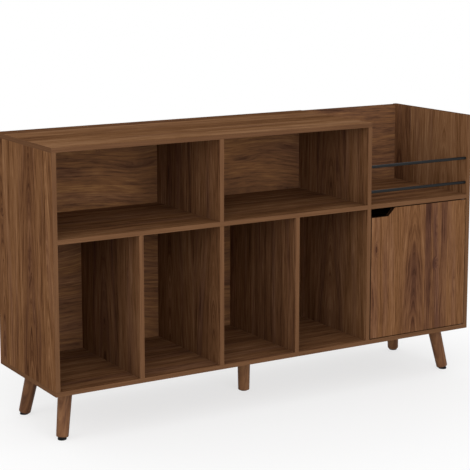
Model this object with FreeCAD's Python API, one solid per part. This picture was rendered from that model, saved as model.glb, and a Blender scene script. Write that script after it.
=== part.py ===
"""Record cabinet on splayed legs, as a flat-pack carcass with a door and two display rails.

Four record cubbies stand under two open bays.  To their right a display bay, open at the top,
stands over a bay closed by a door that turns on two pins.

Millimetres.  The origin is on the floor below the middle of the cabinet, +X points to the
right, +Y to the rear and +Z up, so the front edges of the boards face -Y.
"""
import FreeCAD, Part
import math
import os

# ---------------------------------------------------------------- driving sizes
# Carcass
BOARD = 15.0                 # thickness of every carcass board
DEPTH = 435.0                # front edges to rear edges
UNDERSIDE = 160.0            # floor to the underside of the carcass
CUBBY_COUNT = 4
CUBBY_WIDTH = 274.0          # clear width of one record cubby
CUBBY_HEIGHT = 455.0         # clear height of the cubbies and of the door bay
UPPER_HEIGHT = 264.0         # clear height of the two open bays
BAY_WIDTH = 414.0            # clear width of the display bay and of the door bay
EDGE_ROUND = 0.6             # rounding left on the edge banding

# Back boards, held in grooves
BACK_BOARD = 5.0             # thickness
BACK_INSET = 10.0            # rear edges of the carcass to the rear of the back boards
GROOVE_DEPTH = 5.0
GROOVE_SIDE_PLAY = 0.2       # on each face of a back board
GROOVE_END_PLAY = 0.5        # between a back board's edge and the bottom of its groove

# Cam locks, cam bolts and dowels
CAM_RADIUS = 7.5
CAM_LENGTH = 12.0
CAM_SETBACK = 24.0           # end of the board to the centre of the cam
CAM_FROM_EDGE = 50.0         # front and rear edges to the nearest cam
CAM_HOLLOW_RADIUS = 3.6      # bore in the cam's side that takes the bolt's head
CAM_HOLLOW_PAST_CENTRE = 3.0
CAM_RECESS_LENGTH = 9.0      # cross recess for the screwdriver
CAM_RECESS_WIDTH = 1.6
CAM_RECESS_DEPTH = 2.0
BOLT_RADIUS = 3.0            # shank and head of a cam bolt
BOLT_NECK_RADIUS = 2.0
BOLT_NECK_LENGTH = 4.0
BOLT_HEAD_LENGTH = 3.0
BOLT_HEAD_PAST_CENTRE = 1.5  # the head's end lies this far past the centre of the cam
BOLT_THREAD_RADIUS = 2.5
BOLT_THREAD_LENGTH = 11.0
BOLT_BORE_PLAY = 0.4         # round the shank in the end of the board
DOWEL_RADIUS = 4.0
DOWEL_IN_END = 18.0          # part of a dowel in the end of a board
DOWEL_IN_FACE = 10.0         # part of a dowel in the face of the mating board
DOWEL_FROM_EDGE = 100.0      # front and rear edges to the nearest dowel
ROW_STEP = 32.0              # rows move in by this where two boards meet back to back
FIT_PLAY = 0.05              # round dowels, threads, pins and studs
BORE_END_PLAY = 0.4          # beyond the end of what a blind bore holds

# Display rails
RAIL_RADIUS = 5.0
RAIL_HEIGHTS = {"lower_rail": 41.0, "upper_rail": 127.0}   # display shelf to the rail's axis
RAIL_INSET = 12.0            # front edges to the rail's axis
RAIL_SEAT = 8.0              # length of a rail's end inside a board
RAIL_PLAY = 0.2              # round a rail's end

# Door
DOOR_THICKNESS = 15.0
DOOR_GAP = 3.0               # all round
NOTCH_DEPTH = 28.0           # finger notch, down from the door's top edge
NOTCH_LENGTH = 70.0          # its level floor, from which it rises at 45 degrees
PIVOT_FROM_EDGE = 12.0       # door's right edge to the pivot axis
PIN_RADIUS = 3.0
PIN_IN_DOOR = 18.0
PIN_IN_BUSH = 7.0
BUSH_RADIUS = 5.0
BUSH_LENGTH = 9.0            # part of a bush inside the board
BUSH_FLANGE_RADIUS = 7.0
BUSH_DOOR_PLAY = 0.3         # between a bush's flange and the door
SMALL_ROUND = 1.0            # rounding on hardware

# Magnetic catch on the upright, and its strike plate on the door
CATCH_LENGTH = 46.0
CATCH_THICKNESS = 12.0
CATCH_DEPTH = 16.0
CATCH_SCREW_SPACING = 34.0
CATCH_SCREW_SINK = 6.0       # depth of the counterbores for the screw heads
MAGNET_LENGTH = 22.0
MAGNET_THICKNESS = 7.0
MAGNET_DEPTH = 12.0
STRIKE_LENGTH = 40.0
STRIKE_WIDTH = 11.0
STRIKE_THICKNESS = 1.5
STRIKE_FROM_EDGE = 2.0       # door's free edge to the strike plate
STRIKE_SCREW_SPACING = 30.0
STRIKE_SCREW_HEAD_RADIUS = 2.8
STRIKE_PLAY = 0.3            # between the closed strike plate and the catch

# Small screws
SCREW_RADIUS = 1.5
SCREW_HEAD_RADIUS = 3.0
SCREW_HEAD_LENGTH = 1.8
SCREW_IN_BOARD = 10.0

# Legs
LEG_TOP_RADIUS = 23.0
LEG_FOOT_RADIUS = 19.5
LEG_SPLAY = 0.166            # outward run per unit of height, along X and along Y
LEG_TOP_FROM_END = 75.6      # ends of the cabinet to a leg's axis at the underside
LEG_TOP_FROM_EDGE = 96.6     # front and rear edges to a leg's axis at the underside
LEG_FOOT_ROUND = 4.5
CENTRE_LEG_FOOT_ROUND = 2.0
PAD_RADIUS = 14.0
PAD_HEIGHT = 7.0             # floor to the end of the leg, on the leg's axis
CENTRE_PAD_HEIGHT = 2.5
PAD_SPIGOT_RADIUS = 2.5
PAD_SPIGOT_LENGTH = 14.0
PLATE_SIZE = 56.0
PLATE_THICKNESS = 3.0
PLATE_CORNER_ROUND = 6.0
PLATE_SCREW_SPACING = 41.0
STUD_RADIUS = 4.0
STUD_IN_LEG = 28.0
STUD_IN_BOARD = 9.0
STUD_BORE_PLAY = 0.5         # round the stud in the bottom panel

# ---------------------------------------------------------------- places worked out from them
FRONT = -DEPTH / 2
REAR = DEPTH / 2
CUBBY_PITCH = CUBBY_WIDTH + BOARD
WIDTH = 2 * BOARD + CUBBY_COUNT * CUBBY_PITCH + BAY_WIDTH
LEFT = -WIDTH / 2
RIGHT = WIDTH / 2
MAIN_LEFT = LEFT + BOARD
UPRIGHT_LEFT = MAIN_LEFT + CUBBY_COUNT * CUBBY_PITCH - BOARD
UPRIGHT_RIGHT = UPRIGHT_LEFT + BOARD
BAY_RIGHT = RIGHT - BOARD

BOTTOM_TOP = UNDERSIDE + BOARD
SHELF_UNDER = BOTTOM_TOP + CUBBY_HEIGHT
SHELF_TOP = SHELF_UNDER + BOARD
TOP_UNDER = SHELF_TOP + UPPER_HEIGHT
TOP = TOP_UNDER + BOARD

BACK_REAR = REAR - BACK_INSET
BACK_FRONT = BACK_REAR - BACK_BOARD
BOLT_REACH = CAM_SETBACK + BOLT_HEAD_PAST_CENTRE

X_AXIS = FreeCAD.Vector(1, 0, 0)
Y_AXIS = FreeCAD.Vector(0, 1, 0)
Z_AXIS = FreeCAD.Vector(0, 0, 1)
TOLERANCE = 1e-6
CLEAR = 5.0                  # how far a cutting tool reaches past what it cuts

solids = {}                  # node name to its solids
tools = {}                   # node name to what is cut from it


# ---------------------------------------------------------------- helpers
def block(x, y, z):
    """A box between two values on each axis."""
    corner = FreeCAD.Vector(x[0], y[0], z[0])
    return Part.makeBox(x[1] - x[0], y[1] - y[0], z[1] - z[0], corner)


def rod(start, direction, length, radius):
    """A cylinder from a point along a direction."""
    return Part.makeCylinder(radius, length, start, direction)


def soften(shape, chosen, radius):
    """Round the edges for which chosen(edge) is true."""
    return shape.makeFillet(radius, [edge for edge in shape.Edges if chosen(edge)])


def lies_on(edge, axis, value):
    """Whether a whole edge lies in the plane where an axis has a value."""
    return all(abs(getattr(corner.Point, axis) - value) < TOLERANCE for corner in edge.Vertexes)


def add(node, shape):
    """Put a solid in a node."""
    solids.setdefault(node, []).append(shape)


def cut_later(node, tool):
    """Cut a tool from a node's board when the nodes are written."""
    tools.setdefault(node, []).append(tool)


def add_board(node, x, y, z):
    """A carcass board with its long front edges rounded."""
    board = block(x, y, z)
    if y[0] == FRONT:
        board = soften(board, lambda e: lies_on(e, "y", FRONT) and e.Length > 2 * BOARD, EDGE_ROUND)
    add(node, board)


# ---------------------------------------------------------------- carcass
def make_carcass():
    """Sides, upright, bottom, top, shelves and dividers."""
    full = (FRONT, REAR)
    before_back = (FRONT, BACK_FRONT)
    add_board("left_side_panel", (LEFT, MAIN_LEFT), full, (BOTTOM_TOP, TOP_UNDER))
    add_board("right_side_panel", (BAY_RIGHT, RIGHT), full, (BOTTOM_TOP, TOP))
    add_board("bay_upright", (UPRIGHT_LEFT, UPRIGHT_RIGHT), full, (BOTTOM_TOP, TOP_UNDER))
    add_board("middle_shelf", (MAIN_LEFT, UPRIGHT_LEFT), full, (SHELF_UNDER, SHELF_TOP))
    add_board("display_shelf", (UPRIGHT_RIGHT, BAY_RIGHT), full, (SHELF_UNDER, SHELF_TOP))

    long_front = lambda e: lies_on(e, "y", FRONT) and e.Length > 2 * BOARD
    top = block((LEFT, UPRIGHT_RIGHT), full, (TOP_UNDER, TOP))
    add("top_panel", soften(top, lambda e: lies_on(e, "z", TOP) or long_front(e), EDGE_ROUND))
    bottom = block((LEFT, RIGHT), full, (UNDERSIDE, BOTTOM_TOP))
    add("bottom_panel",
        soften(bottom, lambda e: lies_on(e, "z", UNDERSIDE) or long_front(e), EDGE_ROUND))

    for number in range(1, CUBBY_COUNT):
        left = MAIN_LEFT + number * CUBBY_PITCH - BOARD
        node = f"lower_divider_{number}"
        add_board(node, (left, left + BOARD), before_back, (BOTTOM_TOP, SHELF_UNDER))
        join(node, "bottom_panel", (left + BOARD / 2, BOTTOM_TOP), Z_AXIS)
        join(node, "middle_shelf", (left + BOARD / 2, SHELF_UNDER), -Z_AXIS)

    middle = (MAIN_LEFT + UPRIGHT_LEFT) / 2
    across = (middle - BOARD / 2, middle + BOARD / 2)
    add_board("upper_divider", across, before_back, (SHELF_TOP, TOP_UNDER))
    join("upper_divider", "middle_shelf", (middle, SHELF_TOP), Z_AXIS, step=ROW_STEP)
    join("upper_divider", "top_panel", (middle, TOP_UNDER), -Z_AXIS)


def make_back_boards():
    """Four boards, each let into grooves in the boards round it."""
    openings = {
        "lower_back_board": ((MAIN_LEFT, UPRIGHT_LEFT), (BOTTOM_TOP, SHELF_UNDER)),
        "upper_back_board": ((MAIN_LEFT, UPRIGHT_LEFT), (SHELF_TOP, TOP_UNDER)),
        "door_bay_back_board": ((UPRIGHT_RIGHT, BAY_RIGHT), (BOTTOM_TOP, SHELF_UNDER)),
        "display_back_board": ((UPRIGHT_RIGHT, BAY_RIGHT), (SHELF_TOP, TOP)),
    }
    frames = {
        "lower_back_board": ("left_side_panel", "bay_upright", "bottom_panel", "middle_shelf"),
        "upper_back_board": ("left_side_panel", "bay_upright", "middle_shelf", "top_panel"),
        "door_bay_back_board": ("bay_upright", "right_side_panel", "bottom_panel", "display_shelf"),
        "display_back_board": ("bay_upright", "right_side_panel", "display_shelf", "top_panel"),
    }
    reach = GROOVE_DEPTH - GROOVE_END_PLAY
    for node, (x, z) in openings.items():
        open_top = z[1] == TOP
        board_top = z[1] if open_top else z[1] + reach
        groove_top = z[1] + CLEAR if open_top else z[1] + GROOVE_DEPTH
        add(node, block((x[0] - reach, x[1] + reach), (BACK_FRONT, BACK_REAR),
                        (z[0] - reach, board_top)))
        groove = block((x[0] - GROOVE_DEPTH, x[1] + GROOVE_DEPTH),
                       (BACK_FRONT - GROOVE_SIDE_PLAY, BACK_REAR + GROOVE_SIDE_PLAY),
                       (z[0] - GROOVE_DEPTH, groove_top))
        for frame in frames[node]:
            cut_later(frame, groove)


# ---------------------------------------------------------------- cam locks and dowels
def make_cam(centre, side, inward):
    """A cam lock, flush with the board's face, with a bore in its rim and a cross recess."""
    cam = rod(centre, -side, CAM_LENGTH, CAM_RADIUS)
    hollow_start = centre - side * (BOARD / 2) - inward * (CAM_RADIUS + CLEAR)
    hollow = rod(hollow_start, inward, CAM_RADIUS + CLEAR + CAM_HOLLOW_PAST_CENTRE, CAM_HOLLOW_RADIUS)
    cam = cam.cut(hollow)
    for along in (inward, Y_AXIS):
        across = side.cross(along)
        half = along * (CAM_RECESS_LENGTH / 2) + across * (CAM_RECESS_WIDTH / 2)
        reach = side * CAM_RECESS_DEPTH
        corners = [centre + half + reach, centre - half - reach]
        low = [min(c[i] for c in corners) for i in range(3)]
        high = [max(c[i] for c in corners) for i in range(3)]
        cam = cam.cut(block(*zip(low, high)))
    return cam


def make_cam_bolt(point, inward):
    """A bolt screwed into the mating board, with a necked head for the cam to draw on."""
    neck_start = BOLT_REACH - BOLT_HEAD_LENGTH - BOLT_NECK_LENGTH
    bolt = rod(point - inward * BOLT_THREAD_LENGTH, inward, BOLT_THREAD_LENGTH, BOLT_THREAD_RADIUS)
    bolt = bolt.fuse(rod(point, inward, neck_start, BOLT_RADIUS))
    bolt = bolt.fuse(rod(point + inward * neck_start, inward, BOLT_NECK_LENGTH, BOLT_NECK_RADIUS))
    head_start = neck_start + BOLT_NECK_LENGTH
    return bolt.fuse(rod(point + inward * head_start, inward, BOLT_HEAD_LENGTH, BOLT_RADIUS))


def join(held, mating, line, inward, cam_side=None, step=0.0):
    """Join the end of one board to the face of another.

    line is the (x, z) of the joint at the middle of the held board's thickness, inward points
    from the joint into the held board, and cam_side is the face that the cams are let into.
    Without cam_side the joint has dowels only.
    """
    for y in (FRONT + DOWEL_FROM_EDGE + step, REAR - DOWEL_FROM_EDGE - step):
        point = FreeCAD.Vector(line[0], y, line[1])
        start = point - inward * DOWEL_IN_FACE
        add("dowels", rod(start, inward, DOWEL_IN_FACE + DOWEL_IN_END, DOWEL_RADIUS))
        hole = rod(start - inward * BORE_END_PLAY, inward,
                   DOWEL_IN_FACE + DOWEL_IN_END + 2 * BORE_END_PLAY, DOWEL_RADIUS + FIT_PLAY)
        cut_later(held, hole)
        cut_later(mating, hole)
    if cam_side is None:
        return
    for y in (FRONT + CAM_FROM_EDGE + step, REAR - CAM_FROM_EDGE - step):
        point = FreeCAD.Vector(line[0], y, line[1])
        centre = point + inward * CAM_SETBACK + cam_side * (BOARD / 2)
        add("cam_locks", make_cam(centre, cam_side, inward))
        add("cam_bolts", make_cam_bolt(point, inward))
        cut_later(held, rod(centre + cam_side * CLEAR, -cam_side,
                            CAM_LENGTH + CLEAR + BORE_END_PLAY, CAM_RADIUS + FIT_PLAY))
        cut_later(held, rod(point, inward, CAM_SETBACK, BOLT_RADIUS + BOLT_BORE_PLAY))
        thread_bore = BOLT_THREAD_LENGTH + BORE_END_PLAY
        cut_later(mating, rod(point, -inward, thread_bore, BOLT_THREAD_RADIUS + FIT_PLAY))


def join_carcass():
    """The cam joints: shelves to the upright boards, and these to the top and bottom."""
    shelf_line = (SHELF_UNDER + SHELF_TOP) / 2
    left_line = (LEFT + MAIN_LEFT) / 2
    right_line = (BAY_RIGHT + RIGHT) / 2
    upright_line = (UPRIGHT_LEFT + UPRIGHT_RIGHT) / 2
    below = -Z_AXIS
    join("left_side_panel", "top_panel", (left_line, TOP_UNDER), -Z_AXIS, X_AXIS)
    join("bay_upright", "top_panel", (upright_line, TOP_UNDER), -Z_AXIS, X_AXIS)
    join("left_side_panel", "bottom_panel", (left_line, BOTTOM_TOP), Z_AXIS, X_AXIS)
    join("bay_upright", "bottom_panel", (upright_line, BOTTOM_TOP), Z_AXIS, X_AXIS)
    join("right_side_panel", "bottom_panel", (right_line, BOTTOM_TOP), Z_AXIS, -X_AXIS)
    join("middle_shelf", "left_side_panel", (MAIN_LEFT, shelf_line), X_AXIS, below)
    join("middle_shelf", "bay_upright", (UPRIGHT_LEFT, shelf_line), -X_AXIS, below)
    join("display_shelf", "bay_upright", (UPRIGHT_RIGHT, shelf_line), X_AXIS, below, ROW_STEP)
    join("display_shelf", "right_side_panel", (BAY_RIGHT, shelf_line), -X_AXIS, below, ROW_STEP)


# ---------------------------------------------------------------- display rails
def make_rails():
    """Two round rails whose ends sit in blind bores in the upright and the right side."""
    for node, height in RAIL_HEIGHTS.items():
        y = FRONT + RAIL_INSET
        z = SHELF_TOP + height
        start = FreeCAD.Vector(UPRIGHT_RIGHT - RAIL_SEAT, y, z)
        length = BAY_WIDTH + 2 * RAIL_SEAT
        add(node, rod(start, X_AXIS, length, RAIL_RADIUS))
        seat = rod(start - X_AXIS * BORE_END_PLAY, X_AXIS, length + 2 * BORE_END_PLAY,
                   RAIL_RADIUS + RAIL_PLAY)
        cut_later("bay_upright", seat)
        cut_later("right_side_panel", seat)


# ---------------------------------------------------------------- screws
def add_pan_screw(node, seat, direction, through, board):
    """A pan-head screw whose head sits at seat, through a fitting and into a board."""
    length = through + SCREW_IN_BOARD
    head = rod(seat - direction * SCREW_HEAD_LENGTH, direction, SCREW_HEAD_LENGTH, SCREW_HEAD_RADIUS)
    head = soften(head, lambda e: abs((e.CenterOfMass - seat).dot(direction)) > TOLERANCE
                  and isinstance(e.Curve, Part.Circle), SMALL_ROUND)
    add(node, head.fuse(rod(seat, direction, length, SCREW_RADIUS)))
    cut_later(board, rod(seat, direction, length + BORE_END_PLAY, SCREW_RADIUS + FIT_PLAY))


# ---------------------------------------------------------------- door
def make_door():
    """The inset door with its finger notch, strike plate and pins."""
    x = (UPRIGHT_RIGHT + DOOR_GAP, BAY_RIGHT - DOOR_GAP)
    y = (FRONT, FRONT + DOOR_THICKNESS)
    z = (BOTTOM_TOP + DOOR_GAP, SHELF_UNDER - DOOR_GAP)
    notch_end = x[0] + NOTCH_LENGTH
    notch_top = NOTCH_DEPTH + CLEAR
    outline = [(x[0] - CLEAR, 0), (notch_end, 0), (notch_end + notch_top, notch_top),
               (x[0] - CLEAR, notch_top)]
    corners = [FreeCAD.Vector(px, y[0] - CLEAR, z[1] - NOTCH_DEPTH + pz) for px, pz in outline]
    face = Part.Face(Part.makePolygon(corners + corners[:1]))
    notch = face.extrude(Y_AXIS * (DOOR_THICKNESS + 2 * CLEAR))
    door = block(x, y, z).cut(notch)
    add("door", soften(door, lambda e: lies_on(e, "y", FRONT), EDGE_ROUND))

    pivot_x = x[1] - PIVOT_FROM_EDGE
    pivot_y = (y[0] + y[1]) / 2
    make_pivot("lower", FreeCAD.Vector(pivot_x, pivot_y, z[0]), -Z_AXIS, "bottom_panel")
    make_pivot("upper", FreeCAD.Vector(pivot_x, pivot_y, z[1]), Z_AXIS, "display_shelf")
    make_catch(x[0], y[1], (z[0] + z[1]) / 2)


def make_pivot(place, edge, outward, board):
    """A pin in the door's edge, turning in a flanged bush that is let into a board."""
    pin_length = PIN_IN_DOOR + DOOR_GAP + PIN_IN_BUSH
    pin_start = edge - outward * PIN_IN_DOOR
    add(f"{place}_pivot_pin", rod(pin_start, outward, pin_length, PIN_RADIUS))
    cut_later("door", rod(pin_start - outward * BORE_END_PLAY, outward,
                          pin_length, PIN_RADIUS + FIT_PLAY))

    flange_start = edge + outward * BUSH_DOOR_PLAY
    bush = rod(flange_start, outward, DOOR_GAP - BUSH_DOOR_PLAY, BUSH_FLANGE_RADIUS)
    bush = bush.fuse(rod(edge + outward * DOOR_GAP, outward, BUSH_LENGTH, BUSH_RADIUS))
    bore_length = DOOR_GAP + PIN_IN_BUSH + BORE_END_PLAY
    add(f"{place}_pivot_bush", bush.cut(rod(edge, outward, bore_length, PIN_RADIUS + FIT_PLAY)))
    cut_later(board, rod(edge + outward * DOOR_GAP, outward,
                         BUSH_LENGTH + BORE_END_PLAY, BUSH_RADIUS + FIT_PLAY))


def make_catch(door_left, door_rear, middle):
    """A magnetic catch on the upright, and the strike plate that it holds on the door."""
    strike_x = (door_left + STRIKE_FROM_EDGE, door_left + STRIKE_FROM_EDGE + STRIKE_WIDTH)
    strike = block(strike_x, (door_rear, door_rear + STRIKE_THICKNESS),
                   (middle - STRIKE_LENGTH / 2, middle + STRIKE_LENGTH / 2))
    for side in (-1, 1):
        seat = FreeCAD.Vector(sum(strike_x) / 2, door_rear + STRIKE_THICKNESS,
                              middle + side * STRIKE_SCREW_SPACING / 2)
        sink = Part.makeCone(STRIKE_SCREW_HEAD_RADIUS, SCREW_RADIUS, STRIKE_THICKNESS, seat, -Y_AXIS)
        play_sink = Part.makeCone(STRIKE_SCREW_HEAD_RADIUS + FIT_PLAY, SCREW_RADIUS + FIT_PLAY,
                                  STRIKE_THICKNESS, seat, -Y_AXIS)
        strike = strike.cut(play_sink)
        shank = rod(seat - Y_AXIS * STRIKE_THICKNESS, -Y_AXIS, SCREW_IN_BOARD, SCREW_RADIUS)
        add("strike_screws", sink.fuse(shank))
        cut_later("door", rod(seat, -Y_AXIS, STRIKE_THICKNESS + SCREW_IN_BOARD + BORE_END_PLAY,
                              SCREW_RADIUS + FIT_PLAY))
    add("strike_plate", strike)

    front = door_rear + STRIKE_THICKNESS + STRIKE_PLAY
    body_x = (UPRIGHT_RIGHT, UPRIGHT_RIGHT + CATCH_THICKNESS)
    body = block(body_x, (front, front + CATCH_DEPTH),
                 (middle - CATCH_LENGTH / 2, middle + CATCH_LENGTH / 2))
    body = soften(body, lambda e: lies_on(e, "x", body_x[1]), SMALL_ROUND)
    magnet_x = (sum(body_x) / 2 - MAGNET_THICKNESS / 2, sum(body_x) / 2 + MAGNET_THICKNESS / 2)
    magnet_z = (middle - MAGNET_LENGTH / 2, middle + MAGNET_LENGTH / 2)
    add("catch_magnet", block(magnet_x, (front, front + MAGNET_DEPTH), magnet_z))
    body = body.cut(block((magnet_x[0] - FIT_PLAY, magnet_x[1] + FIT_PLAY),
                          (front - CLEAR, front + MAGNET_DEPTH + FIT_PLAY),
                          (magnet_z[0] - FIT_PLAY, magnet_z[1] + FIT_PLAY)))
    for side in (-1, 1):
        seat = FreeCAD.Vector(body_x[1] - CATCH_SCREW_SINK, front + CATCH_DEPTH / 2,
                              middle + side * CATCH_SCREW_SPACING / 2)
        through = CATCH_THICKNESS - CATCH_SCREW_SINK
        body = body.cut(rod(seat, X_AXIS, CATCH_SCREW_SINK + CLEAR, SCREW_HEAD_RADIUS + FIT_PLAY))
        body = body.cut(rod(seat, -X_AXIS, through + CLEAR, SCREW_RADIUS + FIT_PLAY))
        add_pan_screw("catch_screws", seat, -X_AXIS, through, "bay_upright")
    add("magnetic_catch", body)


# ---------------------------------------------------------------- legs
def make_leg(name, top_x, top_y, lean_x, lean_y, foot_round, pad_height):
    """A turned leg with its pad, its screw-on plate and the stud that joins them.

    The leg's axis crosses the underside at (top_x, top_y) and leans out by lean_x and lean_y
    for each unit that it goes down.
    """
    up = FreeCAD.Vector(-lean_x, -lean_y, 1)
    slope = up.Length
    up.normalize()

    def on_axis(z):
        """The point of the leg's axis at a height."""
        drop = UNDERSIDE - z
        return FreeCAD.Vector(top_x + lean_x * drop, top_y + lean_y * drop, z)

    def above(z):
        """A box over everything near the leg that is higher than z."""
        reach = PLATE_SIZE + UNDERSIDE * LEG_SPLAY
        return block((top_x - reach, top_x + reach), (top_y - reach, top_y + reach), (z, z + UNDERSIDE))

    leg_top = UNDERSIDE - PLATE_THICKNESS
    end = on_axis(pad_height)
    length = (leg_top - pad_height) * slope
    taper = (LEG_TOP_RADIUS - LEG_FOOT_RADIUS) / length
    full_length = length + LEG_TOP_RADIUS
    leg = Part.makeCone(LEG_FOOT_RADIUS, LEG_FOOT_RADIUS + taper * full_length, full_length, end, up)
    leg = soften(leg, lambda e: isinstance(e.Curve, Part.Circle)
                 and (e.Curve.Center - end).Length < TOLERANCE, foot_round)
    leg = leg.cut(above(leg_top))
    spigot = rod(end, up, PAD_SPIGOT_LENGTH, PAD_SPIGOT_RADIUS)
    leg = leg.cut(rod(end - up * CLEAR, up, CLEAR + PAD_SPIGOT_LENGTH + BORE_END_PLAY,
                      PAD_SPIGOT_RADIUS + FIT_PLAY))
    stud_start = on_axis(leg_top) - up * STUD_IN_LEG
    stud_length = STUD_IN_LEG + PLATE_THICKNESS * slope + STUD_IN_BOARD
    add("leg_studs", rod(stud_start, up, stud_length, STUD_RADIUS))
    stud_bore = rod(stud_start - up * BORE_END_PLAY, up, stud_length, STUD_RADIUS + FIT_PLAY)
    add(f"{name}_leg", leg.cut(stud_bore))

    pad = rod(end - up * (pad_height * slope + PAD_RADIUS), up,
              pad_height * slope + PAD_RADIUS, PAD_RADIUS)
    add(f"{name}_foot_pad", pad.fuse(spigot).common(above(0)))

    half = PLATE_SIZE / 2
    plate = block((top_x - half, top_x + half), (top_y - half, top_y + half), (leg_top, UNDERSIDE))
    plate = soften(plate, lambda e: abs(e.Length - PLATE_THICKNESS) < TOLERANCE, PLATE_CORNER_ROUND)
    plate = plate.cut(rod(stud_start, up, stud_length + CLEAR, STUD_RADIUS + FIT_PLAY))
    half_spacing = PLATE_SCREW_SPACING / 2
    for corner_x in (-half_spacing, half_spacing):
        for corner_y in (-half_spacing, half_spacing):
            seat = FreeCAD.Vector(top_x + corner_x, top_y + corner_y, leg_top)
            plate = plate.cut(rod(seat, Z_AXIS, PLATE_THICKNESS, SCREW_RADIUS + FIT_PLAY))
            add_pan_screw("leg_plate_screws", seat, Z_AXIS, PLATE_THICKNESS, "bottom_panel")
    add(f"{name}_leg_plate", plate)
    cut_later("bottom_panel", rod(on_axis(leg_top), up,
                                  PLATE_THICKNESS * slope + STUD_IN_BOARD + BORE_END_PLAY,
                                  STUD_RADIUS + STUD_BORE_PLAY))


def make_legs():
    """Four legs that splay towards the corners, and an upright one under the middle."""
    leg_x = WIDTH / 2 - LEG_TOP_FROM_END
    leg_y = DEPTH / 2 - LEG_TOP_FROM_EDGE
    for depth_name, y_sign in (("front", -1), ("rear", 1)):
        for side_name, x_sign in (("left", -1), ("right", 1)):
            make_leg(f"{depth_name}_{side_name}", x_sign * leg_x, y_sign * leg_y,
                     x_sign * LEG_SPLAY, y_sign * LEG_SPLAY, LEG_FOOT_ROUND, PAD_HEIGHT)
    make_leg("centre", 0.0, 0.0, 0.0, 0.0, CENTRE_LEG_FOOT_ROUND, CENTRE_PAD_HEIGHT)


# ---------------------------------------------------------------- writing
def write_nodes():
    """Cut the bores and grooves, and write one file for each node."""
    os.makedirs("parts", exist_ok=True)
    for node, shapes in solids.items():
        if node in tools:
            shapes = [shape.cut(tools[node]) for shape in shapes]
        pieces = [solid for shape in shapes for solid in shape.Solids]
        model = pieces[0] if len(pieces) == 1 else Part.makeCompound(pieces)
        model.exportStep(f"parts/{node}.step")
        box = model.BoundBox
        print(f"{node}: {len(pieces)} solid(s), valid {model.isValid()}, "
              f"{box.XLength:.1f} x {box.YLength:.1f} x {box.ZLength:.1f} mm")


make_carcass()
make_back_boards()
join_carcass()
make_rails()
make_door()
make_legs()
write_nodes()
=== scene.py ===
# %% [markdown]
# # Dressing a record cabinet
#
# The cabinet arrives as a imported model: every board, leg and fitting at its real size, but bare.
# The next cells give each surface the finish that its maker gave it, and swap the small turned
# and threaded pieces for finer ones. Lengths are in metres, +X points to the right, +Y to the
# rear and +Z up, and the floor is z = 0.

import math
from functools import partial

import bpy
import numpy as np
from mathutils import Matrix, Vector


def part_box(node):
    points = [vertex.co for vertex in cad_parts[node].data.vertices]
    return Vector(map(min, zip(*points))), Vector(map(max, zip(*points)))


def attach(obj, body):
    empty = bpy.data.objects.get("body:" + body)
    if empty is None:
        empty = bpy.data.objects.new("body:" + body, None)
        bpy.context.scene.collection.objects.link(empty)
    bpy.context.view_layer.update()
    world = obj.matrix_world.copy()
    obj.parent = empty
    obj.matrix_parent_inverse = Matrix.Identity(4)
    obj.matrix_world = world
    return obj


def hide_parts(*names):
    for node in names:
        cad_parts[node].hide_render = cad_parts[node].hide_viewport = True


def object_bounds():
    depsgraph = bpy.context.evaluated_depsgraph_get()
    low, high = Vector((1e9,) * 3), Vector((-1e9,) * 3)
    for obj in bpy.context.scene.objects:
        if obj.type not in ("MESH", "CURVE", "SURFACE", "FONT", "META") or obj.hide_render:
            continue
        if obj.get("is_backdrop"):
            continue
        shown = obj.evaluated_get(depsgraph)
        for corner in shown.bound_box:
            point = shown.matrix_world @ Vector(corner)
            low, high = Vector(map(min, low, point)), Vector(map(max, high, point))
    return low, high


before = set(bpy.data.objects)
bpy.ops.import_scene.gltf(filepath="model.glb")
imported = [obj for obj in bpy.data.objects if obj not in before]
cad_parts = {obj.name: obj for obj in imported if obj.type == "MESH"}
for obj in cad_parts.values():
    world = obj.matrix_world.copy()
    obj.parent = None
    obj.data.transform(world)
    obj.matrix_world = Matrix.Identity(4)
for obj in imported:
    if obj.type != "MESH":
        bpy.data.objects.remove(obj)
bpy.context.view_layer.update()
MM = 0.001
AXES = "XYZ"

# %% [markdown]
# ## Two small tools
#
# Finishes are written as sRGB hex values, the way a paint chart gives them, and Cycles works in
# linear light, so one function turns the first into the second. A material is a tree of nodes,
# and one more function adds a node with its settings and its inputs, each of them a plain value
# or the socket that feeds it.

# %% Colours and nodes
SMOOTH = {"interpolation_type": "SMOOTHSTEP"}       # for a Map Range that eases in and out


def linear(code):
    """Linear RGBA of an sRGB hex colour: c/12.92 when dark, else ((c + 0.055)/1.055) ** 2.4."""
    parts = np.array([int(code[i:i + 2], 16) for i in (0, 2, 4)]) / 255
    light = np.where(parts <= 0.04045, parts / 12.92, ((parts + 0.055) / 1.055) ** 2.4)
    return (*light.tolist(), 1.0)


def feed(node, inputs):
    """Give a node's inputs their values, or the sockets that feed them.

    inputs is a dict by name, or else the inputs in order, without those that the node's settings
    switch off. A Map Range's are the value, from low, from high, to low and to high. A node's
    outputs stand for the first of them that is switched on.
    """
    if isinstance(inputs, dict):
        pairs = [(node.inputs[name], value) for name, value in inputs.items()]
    else:
        pairs = zip([socket for socket in node.inputs if socket.enabled], inputs)
    for socket, value in pairs:
        if isinstance(value, bpy.types.bpy_prop_collection):
            value = next(output for output in value if output.enabled)
        if isinstance(value, bpy.types.NodeSocket):
            node.id_data.links.new(value, socket)
        else:
            socket.default_value = value


def add_node(tree, kind, inputs=(), operation=None, **settings):
    """Add a node, set its properties, feed its inputs, and hand back its outputs."""
    node = tree.nodes.new("ShaderNode" + kind)
    if operation:
        node.operation = operation
    for key, value in settings.items():
        setattr(node, key, value)
    feed(node, inputs)
    return node.outputs


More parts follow.
